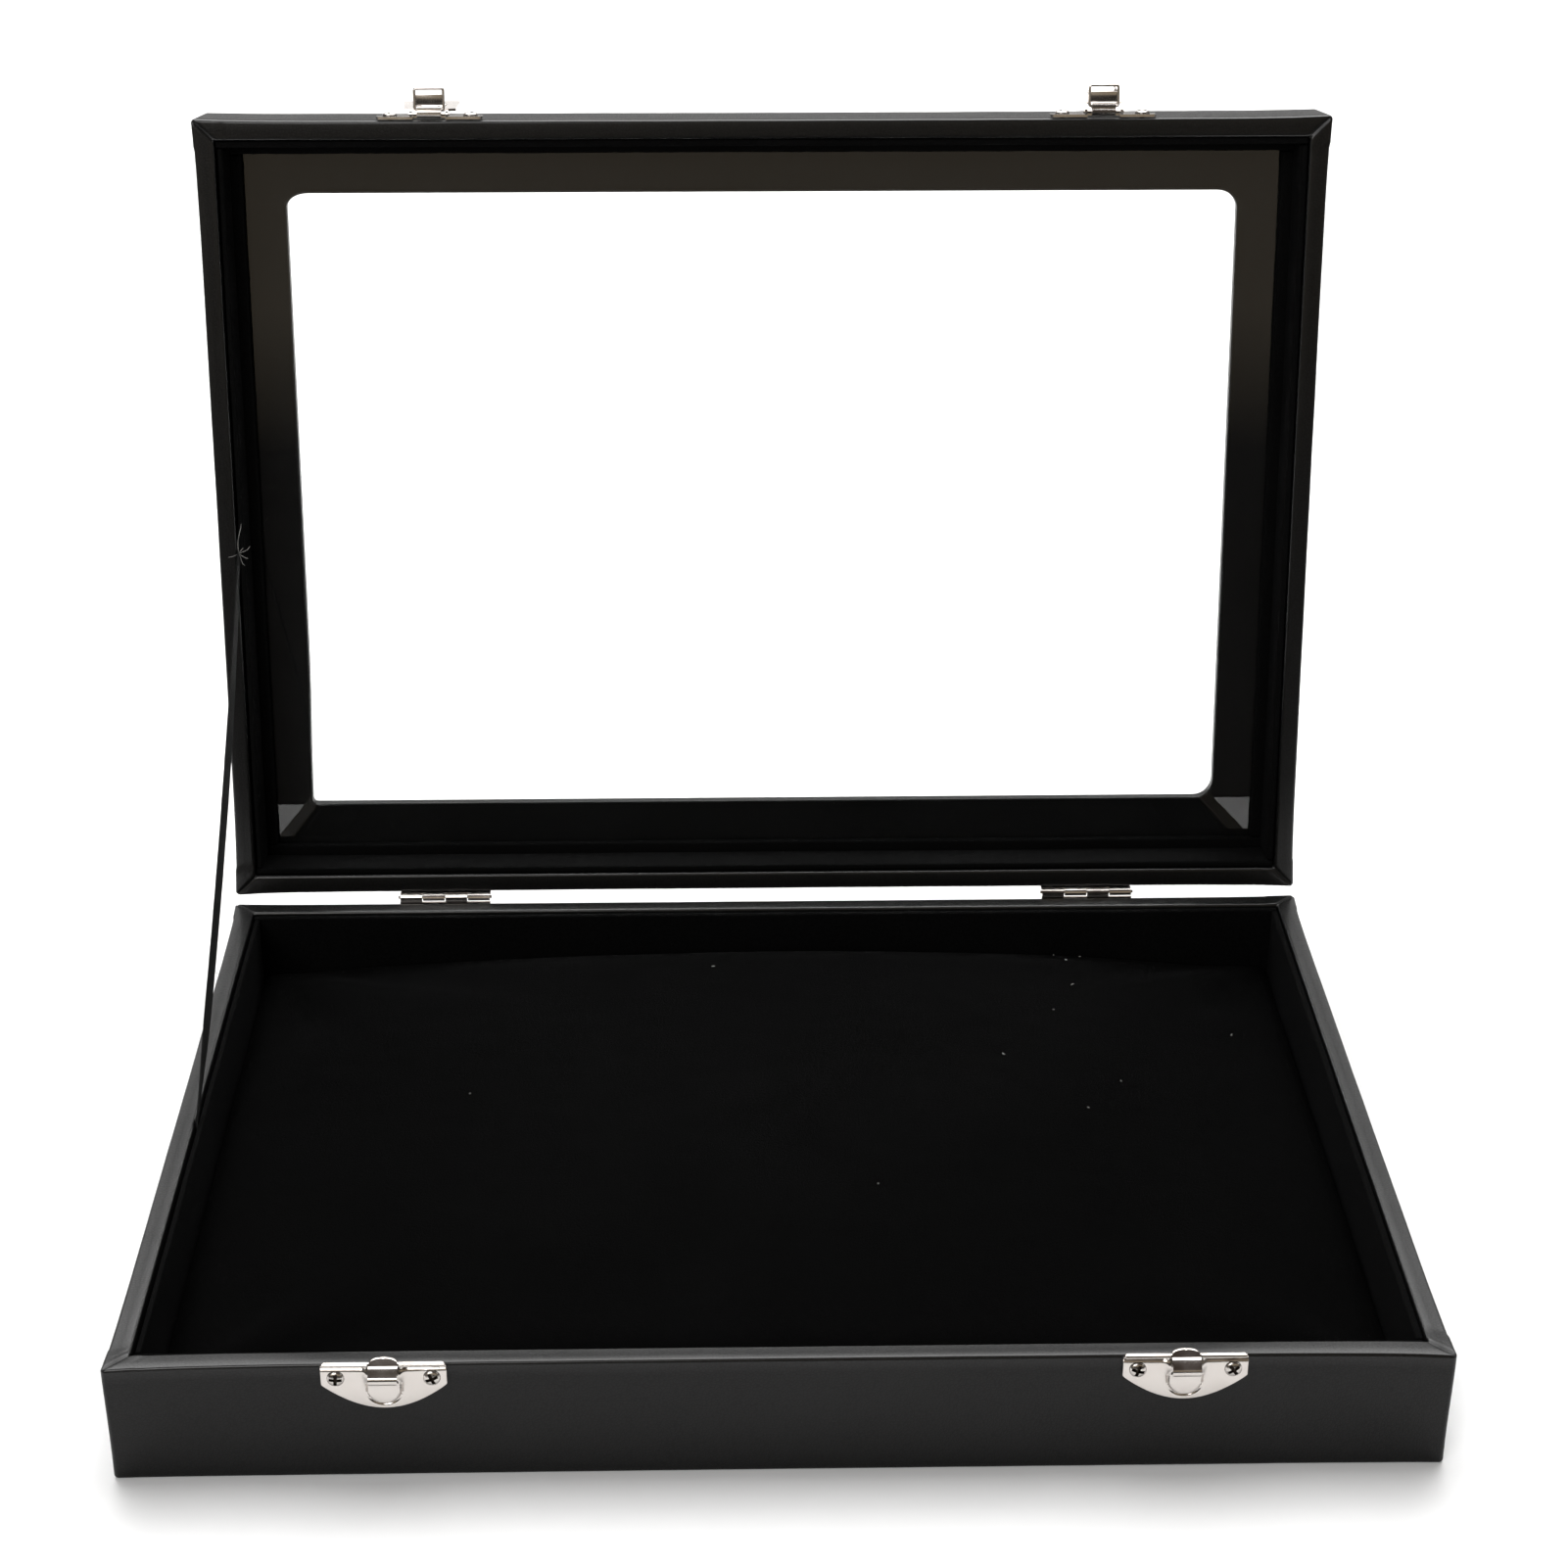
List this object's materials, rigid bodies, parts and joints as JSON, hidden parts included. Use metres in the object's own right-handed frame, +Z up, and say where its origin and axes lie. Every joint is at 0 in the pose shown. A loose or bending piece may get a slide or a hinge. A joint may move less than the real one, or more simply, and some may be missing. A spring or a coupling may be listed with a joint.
{
  "type": "display case",
  "caption": "Shallow leatherette display case with a hinged glass lid, a velvet-lined tray and crowned pad, a ribbon stay and two lever catches.",
  "frame": {"origin": "centre of the base's underside", "axes": "+X to the viewer's right when facing the catches, +Y from the catches towards the hinges, +Z up"},
  "size_m": [0.355, 0.3248, 0.3002],
  "materials": {
    "leatherette": "grained, semi-matt black",
    "velvet": "short black pile",
    "timber": "plain sawn, hidden by the covering",
    "black_board": "thin board painted semi-matt black, seen through the glass",
    "card": "grey board, hidden under the pad",
    "nickel": "bright nickel plate",
    "glass": "clear polished",
    "ribbon": "flat woven black ribbon"
  },
  "bodies": {
    "base": {"base_bottom_board": "timber", "base_bottom_sheet": "leatherette", "base_covering": "leatherette", "base_front_wall": "timber", "base_left_wall": "timber", "base_lining_front": "velvet", "base_lining_left": "velvet", "base_lining_rear": "velvet", "base_lining_right": "velvet", "base_rear_wall": "timber", "base_right_wall": "timber", "catch_left_strike": "nickel", "catch_left_strike_screw_1": "nickel", "catch_left_strike_screw_2": "nickel", "catch_right_strike": "nickel", "catch_right_strike_screw_1": "nickel", "catch_right_strike_screw_2": "nickel", "hinge_left_base_leaf": "nickel", "hinge_left_base_screw_1": "nickel", "hinge_left_base_screw_2": "nickel", "hinge_left_pin": "nickel", "hinge_right_base_leaf": "nickel", "hinge_right_base_screw_1": "nickel", "hinge_right_base_screw_2": "nickel", "hinge_right_pin": "nickel", "pad_board": "card", "pad_cushion": "velvet", "stay_ribbon": "ribbon"},
    "lid": {"catch_left_lid_plate": "nickel", "catch_left_lid_screw_1": "nickel", "catch_left_lid_screw_2": "nickel", "catch_left_pin": "nickel", "catch_right_lid_plate": "nickel", "catch_right_lid_screw_1": "nickel", "catch_right_lid_screw_2": "nickel", "catch_right_pin": "nickel", "glass_pane": "glass", "hinge_left_lid_leaf": "nickel", "hinge_left_lid_screw_1": "nickel", "hinge_left_lid_screw_2": "nickel", "hinge_right_lid_leaf": "nickel", "hinge_right_lid_screw_1": "nickel", "hinge_right_lid_screw_2": "nickel", "lid_covering": "leatherette", "lid_front_wall": "timber", "lid_left_wall": "timber", "lid_lining_front": "velvet", "lid_lining_left": "velvet", "lid_lining_rear": "velvet", "lid_lining_right": "velvet", "lid_rear_wall": "timber", "lid_right_wall": "timber", "lid_window_panel": "black_board"},
    "lever_left": {"catch_left_lever": "nickel"},
    "loop_left": {"catch_left_loop": "nickel"},
    "lever_right": {"catch_right_lever": "nickel"},
    "loop_right": {"catch_right_loop": "nickel"}
  },
  "joints": [
    {"name": "lid_hinge", "type": "hinge", "parent": "base", "child": "lid", "pos_m": [0, 0.1288, 0.0373], "axis": [1, 0, 0], "range_deg": [0, 98.5], "deforming": ["stay_ribbon"]},
    {"name": "lever_left", "type": "hinge", "parent": "lid", "child": "lever_left", "pos_m": [-0.1043, 0.16973, 0.29225], "axis": [-1, 0, 0], "range_deg": [-105, 10]},
    {"name": "loop_left", "type": "hinge", "parent": "lever_left", "child": "loop_left", "pos_m": [-0.1043, 0.171, 0.29338], "axis": [1, 0, 0], "range_deg": [-35, 100]},
    {"name": "lever_right", "type": "hinge", "parent": "lid", "child": "lever_right", "pos_m": [0.1064, 0.16973, 0.29225], "axis": [-1, 0, 0], "range_deg": [-75, 40]},
    {"name": "loop_right", "type": "hinge", "parent": "lever_right", "child": "loop_right", "pos_m": [0.1064, 0.17027, 0.29387], "axis": [1, 0, 0], "range_deg": [-5, 130]}
  ]
}
